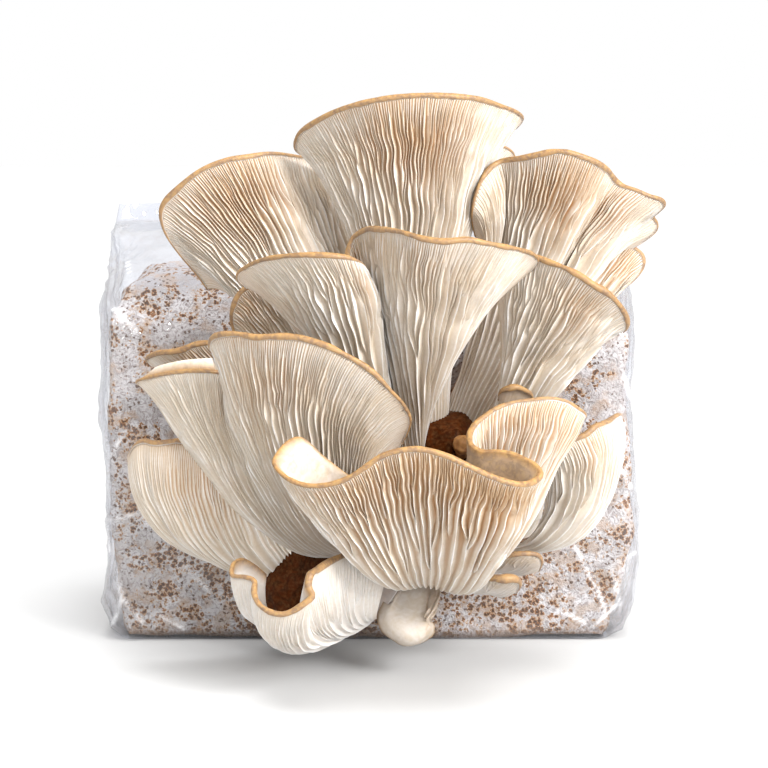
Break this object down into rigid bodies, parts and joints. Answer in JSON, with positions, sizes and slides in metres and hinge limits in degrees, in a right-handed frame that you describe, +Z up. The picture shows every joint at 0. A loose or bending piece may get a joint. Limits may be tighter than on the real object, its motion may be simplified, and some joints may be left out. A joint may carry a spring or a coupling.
{
  "type": "oyster mushroom grow kit",
  "caption": "Block of sawdust bound by white mycelium in a clear sealed bag, with a fanned cluster of oyster mushrooms growing out through a slit in its front.",
  "frame": {"origin": "centre of the bag's flat base, on the surface it stands on", "axes": "+X to the right as seen from the front, +Y to the back, +Z up; the mushrooms lean out over the front, at -Y"},
  "size_m": [0.2472, 0.2651, 0.2467],
  "materials": {
    "mycelium": "matt, fuzzy",
    "film": "clear glossy film",
    "base_flesh": "matt",
    "mushroom_flesh": "matt, faintly silky"
  },
  "bodies": {
    "root": {"substrate_block": "mycelium", "grow_bag": "film", "stem_cluster": "base_flesh", "mushroom_crown": "mushroom_flesh", "mushroom_upper_left": "mushroom_flesh", "mushroom_upper_right": "mushroom_flesh", "mushroom_centre": "mushroom_flesh", "mushroom_right": "mushroom_flesh", "mushroom_left": "mushroom_flesh", "mushroom_lower_left": "mushroom_flesh", "mushroom_front": "mushroom_flesh", "mushroom_lower_right": "mushroom_flesh", "mushroom_bottom": "mushroom_flesh", "mushroom_crown_back": "mushroom_flesh", "mushroom_upper_right_back": "mushroom_flesh", "mushroom_centre_left_back": "mushroom_flesh", "mushroom_left_back": "mushroom_flesh", "mushroom_small_bottom": "mushroom_flesh", "mushroom_small_curl": "mushroom_flesh", "mushroom_small_right_upper": "mushroom_flesh", "mushroom_small_right_lower": "mushroom_flesh", "pin_left": "mushroom_flesh", "pin_right": "mushroom_flesh"}
  },
  "joints": []
}
